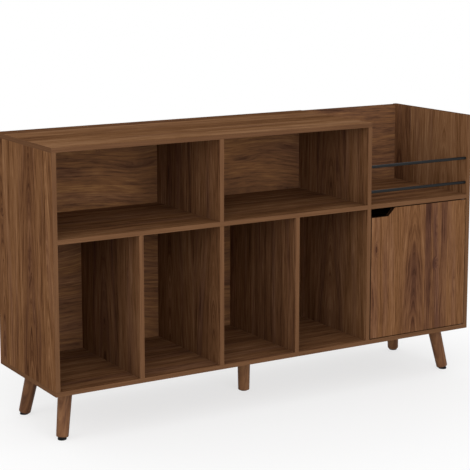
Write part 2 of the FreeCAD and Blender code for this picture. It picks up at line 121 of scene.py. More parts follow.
def emptied(owner):
    """Clear the nodes of a new material or world, and hand back the function that adds one."""
    owner.use_nodes = True
    owner.node_tree.nodes.clear()
    return partial(add_node, owner.node_tree)


def set_stops(ramp, stops, interpolation="LINEAR"):
    """Give a colour ramp its stops, as (position, colour) pairs."""
    colours = ramp[0].node.color_ramp
    colours.interpolation = interpolation
    while len(colours.elements) < len(stops):
        colours.elements.new(1.0)
    for element, (position, colour) in zip(colours.elements, stops):
        element.position = position
        element.color = colour
    return ramp


def new_material(name):
    """A new material, the function that adds its nodes, and the Principled shader it shows."""
    material = bpy.data.materials.new(name)
    add = emptied(material)
    surface = add("BsdfPrincipled")
    add("OutputMaterial", (surface,))
    return material, add, surface[0].node


def object_place(add):
    """The point's own coordinates on its object, as a vector and as X, Y and Z."""
    place = add("TexCoord")["Object"]
    return place, add("SeparateXYZ", (place,))


print("walnut mid brown is", [round(c, 3) for c in linear("6f4d35")])

# %% [markdown]
# ## The studio
#
# A catalogue picture of furniture is taken in a white cove under broad, soft light. A real cove
# could be modelled as a curved sheet, but a flat floor under a white sky gives the same picture
# and the same bounce. The sky lights the cabinet at a little under its own colours, three wide
# softboxes in front and to the left fill its bays, and only the camera and mirror rays see white.

# %% Sky, floor and softboxes
SKY_LEVEL = 0.7
COVE_PAINT = "e4e4e4"         # as the cabinet is lit by it
COVE_WHITE = "ffffff"         # as the camera sees it
FLOOR_GLOW = 0.66             # share of its own white in the floor near the cabinet
FLOOR_FADE = (0.6, 1.5)       # from the middle, where the cove turns to plain white
FLOOR_HALF = 20
LAMP_AIM = (0.0, 0.0, 0.55)
LAMP_SIDE = 2.4
SOFTBOXES = {                 # degrees round to the right, degrees up, metres off, watts
    "front_softbox": (0, 10, 4.5, 66),
    "front_left_softbox": (-35, 25, 4.5, 31),
    "left_softbox": (-80, 20, 4.0, 25),
}

scene = bpy.context.scene
scene.view_settings.view_transform = "Standard"


def new_object(name, data):
    """A new object in the scene."""
    thing = bpy.data.objects.new(name, data)
    scene.collection.objects.link(thing)
    return thing


def seen_directly(add):
    """1 for rays that come straight from the camera, a reflection or a clear material."""
    path = add("LightPath")
    either = add("Math", (path["Is Camera Ray"], path["Is Glossy Ray"]), "MAXIMUM")
    return add("Math", (either, path["Is Transmission Ray"]), "MAXIMUM")


def make_sky():
    """White to the camera, and a plain even light to everything else."""
    world = bpy.data.worlds.new("white_cove")
    add = emptied(world)
    level = add("MapRange", (seen_directly(add), 0.0, 1.0, SKY_LEVEL, 1.0))
    sky = add("Background", (linear(COVE_WHITE), level))
    add("OutputWorld", (sky,))
    scene.world = world


def make_floor():
    """A pale sheet that reads as white and still holds the cabinet's shadow."""
    mesh = bpy.data.meshes.new("cove_floor")
    half = FLOOR_HALF
    mesh.from_pydata([(-half, -half, 0), (half, -half, 0), (half, half, 0), (-half, half, 0)],
                     [], [(0, 1, 2, 3)])
    floor = new_object("cove_floor", mesh)
    material = bpy.data.materials.new("matt_white_cove")
    add = emptied(material)
    seen = seen_directly(add)
    white = linear(COVE_WHITE)
    shown = add("Mix", (seen, linear(COVE_PAINT), white), data_type="RGBA")
    paint = add("BsdfDiffuse", (shown,))
    glow = add("Emission", (white,))
    away = add("VectorMath", (object_place(add)[0],), "LENGTH")
    fade = add("MapRange", (away, *FLOOR_FADE, FLOOR_GLOW, 1.0), **SMOOTH)
    share = add("Math", (seen, fade), "MULTIPLY")
    mixed = add("MixShader", (share, paint, glow))
    add("OutputMaterial", (mixed,))
    mesh.materials.append(material)
    floor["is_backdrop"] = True


def make_softbox(name, round_to, up, distance, watts):
    """One square lamp, as wide as a window and far enough out to leave soft shadow edges."""
    lamp = bpy.data.lights.new(name, "AREA")
    lamp.size = LAMP_SIDE
    lamp.energy = watts
    softbox = new_object(name, lamp)
    turn, lift = math.radians(round_to), math.radians(up)
    out = (math.cos(lift) * math.sin(turn), -math.cos(lift) * math.cos(turn), math.sin(lift))
    softbox.location = np.add(LAMP_AIM, np.multiply(out, distance))
    softbox.rotation_euler = (math.pi / 2 - lift, 0.0, turn)


make_sky()
make_floor()
for name, setting in SOFTBOXES.items():
    make_softbox(name, *setting)
print("sky", SKY_LEVEL, "and", len(SOFTBOXES), "softboxes")

# %% [markdown]
# ## The camera
#
# A long lens from the front left, a little above the top, keeps the long cabinet's lines calm.
# A view camera would keep the uprights parallel by shifting its lens, so here too a small
# downward shift does part of what tilting would do.

# %% Camera
CAMERA_PLACE = (-2.612, -4.262, 1.545)
CAMERA_YAW = 31.157           # degrees to the right of straight ahead
CAMERA_PITCH = 9.195          # degrees below level
CAMERA_LENS = 115.38          # mm, before a sensor 36 mm wide
CAMERA_SHIFT = -0.12

camera_data = bpy.data.cameras.new("camera")
camera_data.lens = CAMERA_LENS
camera_data.shift_y = CAMERA_SHIFT
camera = new_object("camera", camera_data)
camera.location = CAMERA_PLACE
camera.rotation_euler = (math.radians(90 - CAMERA_PITCH), 0.0, math.radians(-CAMERA_YAW))
scene.camera = camera
print("camera at", CAMERA_PLACE)

# %% [markdown]
# ## Walnut, printed and sealed
#
# The boards are chipboard faced with a sealed decor paper. The paper shows walnut veneer laid
# as leaves side by side: each leaf was cut from another place in the log, so it has its own tone
# and its own figure. A photograph of veneer could be wrapped on, but a formula fits any board
# and never repeats.
#
# A tree's yearly rings are nested cones. A flat cut at a distance d from the heart meets them
# where sqrt(a*a + d*d) + taper*l is constant, a being the distance across the leaf from the
# heart and l the distance along it. Near the heart that draws arches, and further out it draws
# straight lines. All the colour is a function of this one growth coordinate and of l, so broad
# bands, streaks and ring lines flow together round an arch. A leaf that holds the heart comes
# from where the trunk spreads and tapers faster, so its arches are short enough to show.

# %% Growth of a board's leaves
HEART_DISTANCE = 14 * MM      # from the cut to the heart of the log
ARCH_TAPER = 0.08             # taper of the log in a leaf that holds its heart
LEAF_LENGTH = 7.0             # m of log that the leaves are cut from


def streaks(add, across, along, seed, width, length, detail=3.0):
    """A noise whose grains are width across and length along."""
    at = add("CombineXYZ", (across, along, seed))
    scaled = add("VectorMath", (at, (1 / width, 1 / length, 1.0)), "MULTIPLY")
    return add("TexNoise", {"Vector": scaled, "Scale": 1.0, "Detail": detail})


def veneer_growth(add, place, along, across, low, high, leaves, seed, figure):
    """Growth coordinate, distance along the log, and the leaf's own tone and heartwood share.

    leaves are (start, tone, heart, heartwood): where a leaf begins as a share of the board's
    width, its tone from 0 dark to 1 pale, where the heart of its log lies, and how much of it
    is the purple-brown wood near the heart. One ramp holds all four, the last in its alpha,
    with the leaf's place along the log in blue, and a second one holds the taper. figure is
    one of the figures in the cell of the boards.
    """
    offsets = np.random.default_rng(seed).uniform(0, 1, len(leaves))
    share = add("MapRange", (place[across], low, high), clamp=False)
    ramp = set_stops(add("ValToRGB", (share,)),
                     [(start, (tone, heart, offset, heartwood))
                      for (start, tone, heart, heartwood), offset in zip(leaves, offsets)],
                     "CONSTANT")
    leaf = add("SeparateColor", (ramp,))
    length = add("Math", (leaf["Blue"], LEAF_LENGTH, place[along]), "MULTIPLY_ADD")
    bend = streaks(add, place[across], length, seed, figure["bend"], figure["bend"], detail=2.0)
    sideways = add("Math", (bend, 2 * figure["wander"], -figure["wander"]), "MULTIPLY_ADD")
    from_heart = add("Math", (share, leaf["Green"]), "SUBTRACT")
    distance = add("Math", (from_heart, high - low, sideways), "MULTIPLY_ADD")
    flat = add("CombineXYZ", (distance, HEART_DISTANCE))
    radius = add("VectorMath", (flat,), "LENGTH")
    ends = [start for start, *_ in leaves[1:]] + [1.0]
    tapers = [(start, (ARCH_TAPER if start < heart < end else figure["taper"],) * 3 + (1.0,))
              for (start, _, heart, _), end in zip(leaves, ends)]
    taper = set_stops(add("ValToRGB", (share,)), tapers, "CONSTANT")
    cone = add("Math", (length, taper, radius), "MULTIPLY_ADD")
    growth = add("Math", (cone, figure["closeness"]), "MULTIPLY")
    return growth, length, leaf["Red"], ramp["Alpha"]


print("leaves are cut from", LEAF_LENGTH, "m of log")

# %% [markdown]
# ## Tone
#
# Walnut's colour comes in layers: broad bands of darker and paler wood, narrower streaks in them,
# a thin dark line at the end of each ring, and short dark dashes where the pores are cut open.
# One noise can't hold all of these, so three of different widths are added up, and the ring lines
# and the pores are taken off.

# %% Tone of the wood
# Each grain's width, and its length along the wood.
GRAIN = ((30 * MM, 800 * MM), (6.5 * MM, 190 * MM), (3 * MM, 70 * MM))
RING_WIDTH = 9 * MM           # walnut has 2 to 5 mm; drawn coarser so that it shows
RING_LINE = (0.5, 0.95)       # where in a ring its dark line begins, and where it is darkest
RING_DARKNESS = 0.12
PORE_SIZE = (1.6 * MM, 30 * MM)   # real pores are about a fifth of this, too fine to show
PORE_NOISE = (0.56, 0.7)      # levels of the noise between which a pore opens
PORE_DARKNESS = 0.14
PORE_SEED = 0.5               # on top of the board's own, so that pores don't follow the grain


def wood_tone(add, growth, length, own_tone, seed, shares):
    """Tone from about 0, dark heartwood, to 1, a pale streak, and where the pores are.

    It is the leaf's own tone, plus noise that is long along the grain at three widths, each in
    its own share, less a thin dark line at the end of every ring, less the open pores.
    """
    noises = [streaks(add, growth, length, seed, *grain_size) for grain_size in GRAIN]
    layers = add("CombineXYZ", noises)
    grain = add("VectorMath", (layers, shares), "DOT_PRODUCT")
    ring = add("Math", (growth, 1 / RING_WIDTH, noises[1]), "MULTIPLY_ADD")
    ring_share = add("Math", (ring,), "FRACT")
    line = add("MapRange", (ring_share, *RING_LINE, 0.0, RING_DARKNESS), **SMOOTH)
    dashes = streaks(add, growth, length, seed + PORE_SEED, *PORE_SIZE, detail=1.0)
    pores = add("MapRange", (dashes, *PORE_NOISE), **SMOOTH)
    streaked = add("Math", (grain, own_tone), "ADD")
    lined = add("Math", (streaked, line), "SUBTRACT")
    pored = add("Math", (pores, -PORE_DARKNESS, lined), "MULTIPLY_ADD")
    noise_middle = sum(shares) / 2 - RING_DARKNESS / 2
    return add("Math", (pored, noise_middle), "SUBTRACT"), pores


print("rings drawn every", RING_WIDTH / MM, "mm")

# %% [markdown]
# ## Knots and stains
#
# Knots and dark flecks are soft oval marks, placed board by board. Each darkens its place, and
# a short one pushes the growth coordinate out, so that the rings bow round it as they do round
# a branch. A few marks are pale instead. On the upper back board the dark marks along its top are
# partly heartwood and partly painted shade, cast by the top panel into the bays.

# %% Marks
MARK_PUSH = 60 * MM           # how far a knot of full darkness pushes the growth coordinate
LONGEST_KNOT = 150            # mm, half the length; longer marks are stains and push nothing


def marks_on(add, place, low, size, along, across, marks):
    """Darkness of a board's soft oval marks, and the part of it that is knots.

    marks are (across, along, half width, half length, darkness): the first two are shares of
    the board, the next two are in mm. A mark is dark at its middle and gone at its rim.
    """
    darkness = knots = 0.0
    for at_across, at_along, half_width, half_length, dark in marks:
        centre, zoom = [0.0] * 3, [0.0] * 3
        for axis, share, half in ((across, at_across, half_width), (along, at_along, half_length)):
            side = AXES.index(axis)
            centre[side] = low[side] + share * size[side]
            zoom[side] = 1 / (half * MM)
        off = add("VectorMath", (place, centre), "SUBTRACT")
        oval = add("VectorMath", (off, zoom), "MULTIPLY")
        away = add("VectorMath", (oval,), "LENGTH")
        mark = add("MapRange", (away, 0.0, 1.0, dark, 0.0), **SMOOTH)
        darkness = add("Math", (mark, darkness), "ADD")
        if half_length < LONGEST_KNOT:
            knots = add("Math", (mark, knots), "ADD")
    return darkness, knots


print("a dark knot bows the rings by up to", MARK_PUSH / MM, "mm")

# %% [markdown]
# ## Print, foil and core
#
# A board shows its printed faces, the banding that is ironed on its sawn edges, and, where it is
# left raw at the rear or bored, its chipboard core. The back boards are thin fibreboard, printed
# on the front only. A picture of each could be tiled, but each is plain enough for one or two
# noises of its own real size, which a ramp of hex colours turns into a colour.

# %% Colours of the print, the foil and the cores
# All of these run from dark to pale. Sealed decor paper: sapwood browns, and the cooler, redder
# brown of the heart. The back boards' paper is a print of its own, with a wider range of tones.
PRINT_COLOURS = ("3b2316", "553723", "6d4a2f", "7f5a3d", "936e4f")
HEARTWOOD_COLOURS = ("36221b", "4e3329", "644434", "75533f", "89644b")
BACK_COLOURS = ("3a281e", "53392a", "6b4a34", "80593a", "966d47")
HEARTWOOD_GRAIN = (30 * MM, 600 * MM)
VEIN_SEED = 0.25              # on top of the board's own
VEIN_NOISE = (0.52, 0.72)     # levels of the noise between which a vein of heartwood grows
VEIN_HEARTWOOD = 0.5          # heartwood share in the middle of a vein
MARK_HEARTWOOD = 1.8          # heartwood share that a mark adds, to its darkness
# Edge banding: a foil with a plainer, slightly redder print than the faces. The top's is a little
# darker, as painted shade against the extra light on its high front edge, and the door's is darker
# still, as painted shade, so that the gap about the door reads as one dark line.
BANDING_COLOURS = ("503526", "684932", "7c5a40")
PAINTED_SHADE_BANDING = {
    "top_panel": ("4a3123", "61432e", "74533b"),
    "door": ("2a190f", "3a2416", "4b3020"),
}
BANDING_STREAK = (3.5 * MM, 220 * MM)
# Chipboard: pressed chips of pale and dark wood.
CORE_COLOURS = ("7d6448", "a98b66", "cdb38c")
CHIP_SIZE = 3 * MM
# Fibreboard: felted brown fibres, paler and darker in clumps and in faint clouds.
FIBRE_COLOURS = ("674d36", "775a40", "87694b")
FIBRE_NOISE = (0.32, 0.68)    # levels of the noise that get the first and the last colour
FIBRE_SIZE = 5 * MM           # clumps of fibres; one fibre is far too fine to show
CLOUD_SIZE = 140 * MM         # where the mat of fibres lay thicker or thinner
CLOUD_SHARE = 0.3
# The routed notch and the rest of the door's raw core: nearly black, with the nap of chips in it.
CUT_COLOURS = ("1d120c", "2b1c14")
CUT_NOISE = (0.3, 0.7)
CUT_NAP = 1.5 * MM


def coloured(add, tone, codes, low=0.0, high=1.0):
    """The colour that a ramp gives to a tone: its hex colours at even steps from low to high."""
    stops = zip(np.linspace(low, high, len(codes)), map(linear, codes))
    return set_stops(add("ValToRGB", (tone,)), list(stops))


def specks(add, place, size, detail=3.0):
    """A noise with no direction, whose clumps are as wide as size."""
    return add("TexNoise", {"Vector": place, "Scale": 1 / size, "Detail": detail})


def printed(add, growth, length, tone, colours, heartwood, darkness, seed):
    """The print's colour: sapwood or heartwood brown, by the leaf, a slow noise and the marks."""
    slow = streaks(add, growth, length, seed + VEIN_SEED, *HEARTWOOD_GRAIN, detail=1.0)
    veins = add("MapRange", (slow, *VEIN_NOISE, 0.0, VEIN_HEARTWOOD))
    marked = add("Math", (darkness, MARK_HEARTWOOD, veins), "MULTIPLY_ADD")
    share = add("Math", (marked, heartwood), "ADD", use_clamp=True)
    browns = coloured(add, tone, colours), coloured(add, tone, HEARTWOOD_COLOURS)
    return add("Mix", (share, *browns), data_type="RGBA")


def banding(add, place, along, across, thick, on_end, seed, colours):
    """The foil on the sawn edges: streaks that run along whichever edge they are on."""
    run = add("Mix", (on_end, place[along], place[across]))
    return coloured(add, streaks(add, place[thick], run, seed, *BANDING_STREAK), colours)


def chipboard(add, place):
    """Pressed chips: cells of mixed tones, as small as sawdust."""
    chips = add("TexVoronoi", {"Vector": place, "Scale": 1 / CHIP_SIZE})
    return coloured(add, chips["Color"], CORE_COLOURS)


def fibreboard(add, place):
    """Felted fibres: a mottle with no direction, of small clumps and faint slow clouds."""
    clumps, clouds = (specks(add, place, size) for size in (FIBRE_SIZE, CLOUD_SIZE))
    felt = add("Mix", (CLOUD_SHARE, clumps, clouds))
    return coloured(add, felt, FIBRE_COLOURS, *FIBRE_NOISE)


def near_black_cut(add, place):
    """The notch of the door and its raw core: a near-black brown with a fine nap."""
    return coloured(add, specks(add, place, CUT_NAP, detail=2.0), CUT_COLOURS, *CUT_NOISE)


# the top's and the door's banding are darker sets, painted shade
print("rolls of banding:", 1 + len(PAINTED_SHADE_BANDING))

# %% [markdown]
# ## One material for a whole board
#
# Separate materials could be put on separate faces, but the mesh is the maker's and stays as it
# is. Instead one material measures how far a point lies below each pair of the board's outer
# faces, and that says which surface it is on.

# %% The finish of one board
EDGE_DEPTH = 0.45 * MM        # thickness of the banding, seen at a board's corner
FACE_DEPTH = 0.7 * MM         # reaches past the rounding of the front edges
# The resin leaves a dead matt. Any gloss would show the white cove and haze the top, which is
# seen at a low angle.
PRINT_SKIN = ((0.74, 0.62), 0.5, 0.0)   # roughness when dark and pale, relief, specular level
PORE_DEPTH = 0.05 * MM


def depth_below_faces(add, place, low, high):
    """How far a point lies below the board's outer faces, on each axis."""
    middle, half = tuple((low + high) / 2), tuple((high - low) / 2)
    off = add("VectorMath", (place, middle), "SUBTRACT")
    size = add("VectorMath", (off,), "ABSOLUTE")
    depth = add("VectorMath", (half, size), "SUBTRACT")
    return add("SeparateXYZ", (depth,))


def wood_skin(add, shader, colour, tone, pores, roughness, relief, specular):
    """Give a wood its colour, a roughness that follows its tone, and sunken pores."""
    rough = add("MapRange", (tone, 0.0, 1.0, *roughness))
    bump = add("Bump", {"Height": pores, "Strength": relief, "Distance": PORE_DEPTH}, invert=True)
    feed(shader, {"Base Color": colour, "Roughness": rough, "Normal": bump,
                  "Specular IOR Level": specular})


def dress(node, material):
    """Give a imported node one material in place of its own."""
    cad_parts[node].data.materials.clear()
    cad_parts[node].data.materials.append(material)


def board_finish(node, along, leaves, marks, seed):
    """The finish of one board. along is the axis that the grain of its print runs on."""
    low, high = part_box(node)
    size = high - low
    thick = AXES[min(range(3), key=lambda i: size[i])]
    across = AXES.replace(along, "").replace(thick, "")
    side = AXES.index(across)
    is_back = node.endswith("back_board")
    figure = BACK_FIGURE if is_back else DOOR_FIGURE if node == "door" else BOARD_FIGURE
    material, add, shader = new_material(f"walnut_decor_paper_{node}")
    vector, place = object_place(add)

    grown, length, own_tone, heartwood = veneer_growth(
        add, place, along, across, low[side], high[side], leaves, seed, figure)
    darkness, knots = marks_on(add, vector, low, size, along, across, marks)
    growth = add("Math", (knots, MARK_PUSH, grown), "MULTIPLY_ADD")
    plain_tone, pores = wood_tone(add, growth, length, own_tone, seed, figure["shares"])
    tone = add("Math", (plain_tone, darkness), "SUBTRACT")
    paper = printed(add, growth, length, tone, BACK_COLOURS if is_back else PRINT_COLOURS,
                    heartwood, darkness, seed)

    depth = depth_below_faces(add, vector, low, high)
    on_end, on_side = (add("Math", (depth[axis], EDGE_DEPTH), "LESS_THAN")
                       for axis in (along, across))
    on_edge = add("Math", (on_end, on_side), "MAXIMUM")
    below = (place["Y"], low.y + FACE_DEPTH) if is_back else (depth[thick], FACE_DEPTH)
    on_face = add("Math", below, "LESS_THAN")
    at_rear = add("Math", (place["Y"], CABINET_REAR - EDGE_DEPTH), "GREATER_THAN")
    banded = 0.0 if is_back else add("Math", (on_edge, at_rear), "SUBTRACT", use_clamp=True)

    # the top's and the door's banding carry painted shade
    strip = banding(add, place, along, across, thick, on_end, seed,
                    PAINTED_SHADE_BANDING.get(node, BANDING_COLOURS))
    core = (near_black_cut if node == "door" else fibreboard if is_back else chipboard)(add, vector)
    whole = core
    for cover, share in ((paper, on_face), (core, at_rear), (strip, banded)):
        whole = add("Mix", (share, whole, cover), data_type="RGBA")
    wood_skin(add, shader, whole, tone, pores, *PRINT_SKIN)
    dress(node, material)


print("a face reaches", round(FACE_DEPTH / MM, 2), "mm into the board")

# %% [markdown]
# ## Leaves and marks of each board
#
# Nobody places the leaves of a printed paper, but they fall differently on every board that is
# sawn from it. The table sets them: the grain stands upright on upright boards and on the door
# and lies along the cabinet on the others, and the back boards show slower, wavier figure.

# %% Boards
CABINET_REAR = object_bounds()[1][1]
BOARD_FIGURE = {
    "taper": 0.012,           # of the log
    "wander": 9 * MM,         # of the grain, sideways
    "bend": 300 * MM,         # length of one bend of it
    "closeness": 1.0,         # how much closer the rings lie than on a plain board
    "shares": (1.0, 1.1, 0.8),    # of broad, middle and fine grain
}
DOOR_FIGURE = BOARD_FIGURE | {"shares": (0.6, 0.72, 0.75)}
BACK_FIGURE = {"taper": 0.03, "wander": 70 * MM, "bend": 650 * MM, "closeness": 0.6,
               "shares": (1.0, 0.8, 0.95)}
BOARDS = {                    # way of the grain, leaves, marks
    "left_side_panel": (
        "Z", ((0.0, 0.56, 0.1, 0.0), (0.12, 0.48, 0.5, 0.0), (0.295, 0.41, 0.4, 0.1),
              (0.55, 0.55, 0.9, 0.0), (0.87, 0.44, 0.9, 0.1)),
        ((0.41, 0.5, 16, 130, 0.14), (0.36, 0.3, 11, 90, 0.12), (0.22, 0.62, 10, 50, 0.12),
         (0.21, 0.37, 9, 40, 0.12), (0.76, 0.33, 11, 90, 0.13), (0.9, 0.68, 14, 34, 0.14),
         (0.55, 0.55, 5, 240, -0.14), (0.12, 0.5, 4, 420, -0.12))),
    "right_side_panel": (
        "Z", ((0.0, 0.6, 0.3, 0.0), (0.45, 0.64, 0.1, 0.0), (0.75, 0.52, 0.9, 0.2)),
        ((0.55, 0.32, 14, 110, 0.14), (0.22, 0.6, 10, 50, 0.12))),
    "bay_upright": (
        "Z", ((0.0, 0.58, 0.9, 0.0), (0.3, 0.52, 0.5, 0.2), (0.7, 0.58, 0.1, 0.1)),
        ((0.42, 0.8, 13, 90, 0.12), (0.2, 0.35, 10, 70, 0.12))),
    "upper_divider": (
        "Z", ((0.0, 0.54, 0.8, 0.1), (0.5, 0.56, 0.1, 0.2)),
        ((0.34, 0.62, 12, 40, 0.14), (0.8, 0.4, 14, 60, 0.12))),
    "lower_divider_1": (
        "Z", ((0.0, 0.56, 0.9, 0.1), (0.35, 0.5, 0.6, 0.2), (0.8, 0.56, 0.2, 0.0)),
        ((0.2, 0.7, 10, 70, 0.12),)),
    "lower_divider_2": (
        "Z", ((0.0, 0.54, 0.1, 0.1), (0.4, 0.6, 0.8, 0.0)), ((0.3, 0.4, 13, 90, 0.12),)),
    "lower_divider_3": (
        "Z", ((0.0, 0.52, 0.7, 0.2), (0.6, 0.58, 0.1, 0.0)), ((0.5, 0.6, 12, 70, 0.12),)),
    "top_panel": (
        "X", ((0.0, 0.82, -0.1, 0.0), (0.2, 0.64, 0.1, 0.0), (0.4, 0.48, 0.9, 0.0),
              (0.6, 0.68, 0.3, 0.0), (0.84, 0.44, 0.5, 0.1)),
        ((0.52, 0.22, 14, 110, 0.12), (0.3, 0.66, 12, 90, 0.1), (0.7, 0.4, 14, 110, 0.12),
         (0.19, 0.14, 8, 160, 0.12), (0.24, 0.3, 10, 120, 0.12))),
    "bottom_panel": ("X", ((0.0, 0.54, 0.8, 0.1), (0.5, 0.52, 0.2, 0.1)), ()),
    "middle_shelf": (
        "X", ((0.0, 0.54, 0.8, 0.0), (0.5, 0.52, 0.2, 0.1)), ((0.35, 0.3, 13, 90, 0.12),)),
    "display_shelf": ("X", ((0.0, 0.5, 0.8, 0.1), (0.6, 0.55, 0.2, 0.0)), ()),
    "door": (
        "Z", ((0.0, 0.54, -0.5, 0.0), (0.33, 0.48, 0.45, 0.05), (0.565, 0.32, 0.3, 0.6),
              (0.625, 0.44, 0.3, 0.3), (0.735, 0.36, 0.3, 0.5), (0.8, 0.56, 0.1, 0.0)),
        ((0.592, 0.84, 30, 200, 0.1), (0.672, 0.8, 13, 120, 0.16), (0.77, 0.84, 22, 160, 0.12),
         (0.593, 0.16, 24, 190, -0.1), (0.77, 0.3, 24, 190, -0.08), (0.677, 0.52, 17, 30, 0.32),
         (0.45, 0.3, 62, 280, 0.26), (0.45, 0.5, 48, 155, 0.1), (0.05, 0.69, 11, 40, 0.28),
         (0.62, 0.3, 14, 140, 0.08), (0.73, 0.14, 22, 140, 0.1), (0.17, 0.42, 12, 90, 0.07),
         (0.88, 0.4, 8, 90, 0.1))),
    "lower_back_board": ("X", ((0.0, 0.62, -0.6, 0.1), (0.5, 0.66, 1.4, 0.0)), ()),
    "upper_back_board": (
        "X", ((0.0, 0.63, -0.3, 0.0),),
        # the three dark marks along its top are partly heartwood and partly painted shade under
        # the top
        ((0.85, 0.24, 50, 130, 0.11), (0.8, 0.45, 55, 90, 0.16), (0.5, 0.44, 18, 130, 0.12),
         (0.85, 0.72, 45, 130, 0.05), (0.45, 0.8, 16, 120, 0.1), (0.71, 0.3, 10, 16, 0.14),
         (0.62, 0.73, 130, 330, -0.1), (0.62, 0.06, 70, 150, -0.1))),
    "door_bay_back_board": ("X", ((0.0, 0.5, -0.3, 0.1), (0.6, 0.5, 1.2, 0.0)), ()),
    "display_back_board": ("X", ((0.0, 0.58, -0.4, 0.1),), ()),
}
for seed, (name, board) in enumerate(BOARDS.items(), 1):
    board_finish(name, *board, seed)
print("boards:", len(BOARDS))

# %% [markdown]
# ## Metal, plastic and bare wood
#
# The fittings are each one substance right through or coated in one colour, but none of them is
# even: zinc plate clouds where it dried, a powder coat flows out like orange peel, and a mould's
# sparked wall leaves a fine matt grain. One function makes them all. A noise as fine as the real
# grain moves the colour between two hex values and the roughness between two levels, and lifts
# the surface a little.

# %% Finishes of the fittings
FINISHES = {      # colours, metallic, roughness, specular level, grain in mm, relief in mm
    # Powder coat: near black, satin, with the slow ripple of melted powder.
    "powder_coated_black_steel": (("060708", "0e1011"), 0.0, (0.42, 0.54), 0.22, 1.6, 0.12),
    # Moulded nylon from a spark-eroded mould: a soft dark matt.
    "moulded_black_nylon": (("040404", "0a0a0b"), 0.0, (0.48, 0.66), 0.12, 0.8, 0.05),
    "moulded_dark_brown_nylon": (("241c17", "32271f"), 0.0, (0.45, 0.62), 0.4, 0.8, 0.05),
    # Bright zinc plate, passivated: clear metal, clouded bluish and yellowish.
    "zinc_plated_steel": (("a9aeb3", "c4c1b8"), 1.0, (0.24, 0.42), 0.5, 7.0, 0.02),
    # Die-cast zinc: dull grey skin with the pits of the die.
    "die_cast_zinc": (("7f8183", "a3a4a4"), 1.0, (0.45, 0.62), 0.5, 1.2, 0.10),
    # Ground ferrite: dark grey and sooty, with a short dull shine.
    "ground_ferrite": (("1f1f21", "303032"), 0.0, (0.45, 0.60), 0.5, 0.6, 0.03),
}
SPECK_NOISE = (0.3, 0.7)      # levels of the noise that get the first and the second colour
SPECK_RELIEF = 0.4
# Bare beech, rolled hard: pale pinkish brown with short dark flecks along the grain.
BEECH_COLOURS = ("a97f55", "c29a6c", "d2ae82")
BEECH_NOISE = (0.2, 0.8)
BEECH_FLECK = (0.9 * MM, 5 * MM)
BEECH_SEED = 3.0
BEECH_ROUGHNESS = (0.7, 0.55)


def mottled(name):
    """A finish of the table: two colours and two roughnesses, parted by one noise."""
    codes, metallic, roughness, specular, grain, lift = FINISHES[name]
    material, add, shader = new_material(name)
    speck = specks(add, object_place(add)[0], grain * MM)
    rough = add("MapRange", (speck, *SPECK_NOISE, *roughness))
    relief = add("Bump", {"Height": speck, "Strength": SPECK_RELIEF, "Distance": lift * MM})
    feed(shader, {"Base Color": coloured(add, speck, codes, *SPECK_NOISE), "Roughness": rough,
                  "Normal": relief, "Metallic": metallic, "Specular IOR Level": specular})
    return material


def turned_beech():
    """Beech whose grain runs along X."""
    material, add, shader = new_material("turned_beech")
    place = object_place(add)[1]
    flat = add("Math", (place["Y"], place["Z"]), "ADD")
    flecks = streaks(add, flat, place["X"], BEECH_SEED, *BEECH_FLECK)
    rough = add("MapRange", (flecks, 0.0, 1.0, *BEECH_ROUGHNESS))
    brown = coloured(add, flecks, BEECH_COLOURS, *BEECH_NOISE)
    feed(shader, {"Base Color": brown, "Roughness": rough})
    return material


finish = {name: mottled(name) for name in FINISHES}
print("finishes:", ", ".join(finish))

# %% [markdown]
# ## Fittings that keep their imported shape
#
# Round rails, flat plates, pins and the catch are already right as solids, because the real ones
# are plain too. They only need their finish. The cam locks keep their driver's cross as well.

# %% Rails, plates, pins and catch
LEG_NAMES = ("front_left", "front_right", "rear_left", "rear_right", "centre")
FITTINGS = {
    "powder_coated_black_steel": ("lower_rail", "upper_rail"),
    "die_cast_zinc": ("cam_locks",),
    "zinc_plated_steel": ("strike_plate", "upper_pivot_pin", "lower_pivot_pin",
                          *(f"{name}_leg_plate" for name in LEG_NAMES)),
    "moulded_dark_brown_nylon": ("magnetic_catch", "upper_pivot_bush", "lower_pivot_bush"),
    "ground_ferrite": ("catch_magnet",),
}
for material_name, nodes in FITTINGS.items():
    for node in nodes:
        dress(node, finish[material_name])
print("fittings dressed:", sum(len(nodes) for nodes in FITTINGS.values()))

# %% [markdown]
# ## Pieces made of rings
#
# Legs, glides, screws and dowels are all turned or rolled, so each is a stack of rings. A lathe
# tool such as the Screw modifier could spin them, but a thread, a flute or a driver's cross is
# not the same all round. As numbers it is easy: the radius and the height of every ring point
# are two arrays, and numpy places a whole box of screws at once.

# %% Rings
CREASE = math.radians(30)     # a sharper turn from face to face stays a hard edge


def rings_along(radius, height, starts, axes):
    """Ring points: start + radius * (cos, sin) across the axis + height * axis.

    radius and height are arrays over (row, step); starts and axes hold one point and one
    direction for each copy. The rings go anticlockwise about the axis.
    """
    angle = np.arange(radius.shape[1]) * 2 * np.pi / radius.shape[1]
    axes = np.asarray(axes, dtype=float)
    axes = axes / np.linalg.norm(axes, axis=1, keepdims=True)
    least = np.eye(3)[np.abs(axes).argmin(axis=1)]
    first = np.cross(axes, least)
    first /= np.linalg.norm(first, axis=1, keepdims=True)
    second = np.cross(axes, first)
    spokes = (np.cos(angle)[:, None] * first[:, None] + np.sin(angle)[:, None] * second[:, None])
    return (np.asarray(starts)[:, None, None] + radius[None, :, :, None] * spokes[:, None]
            + height[None, :, :, None] * axes[:, None, None])


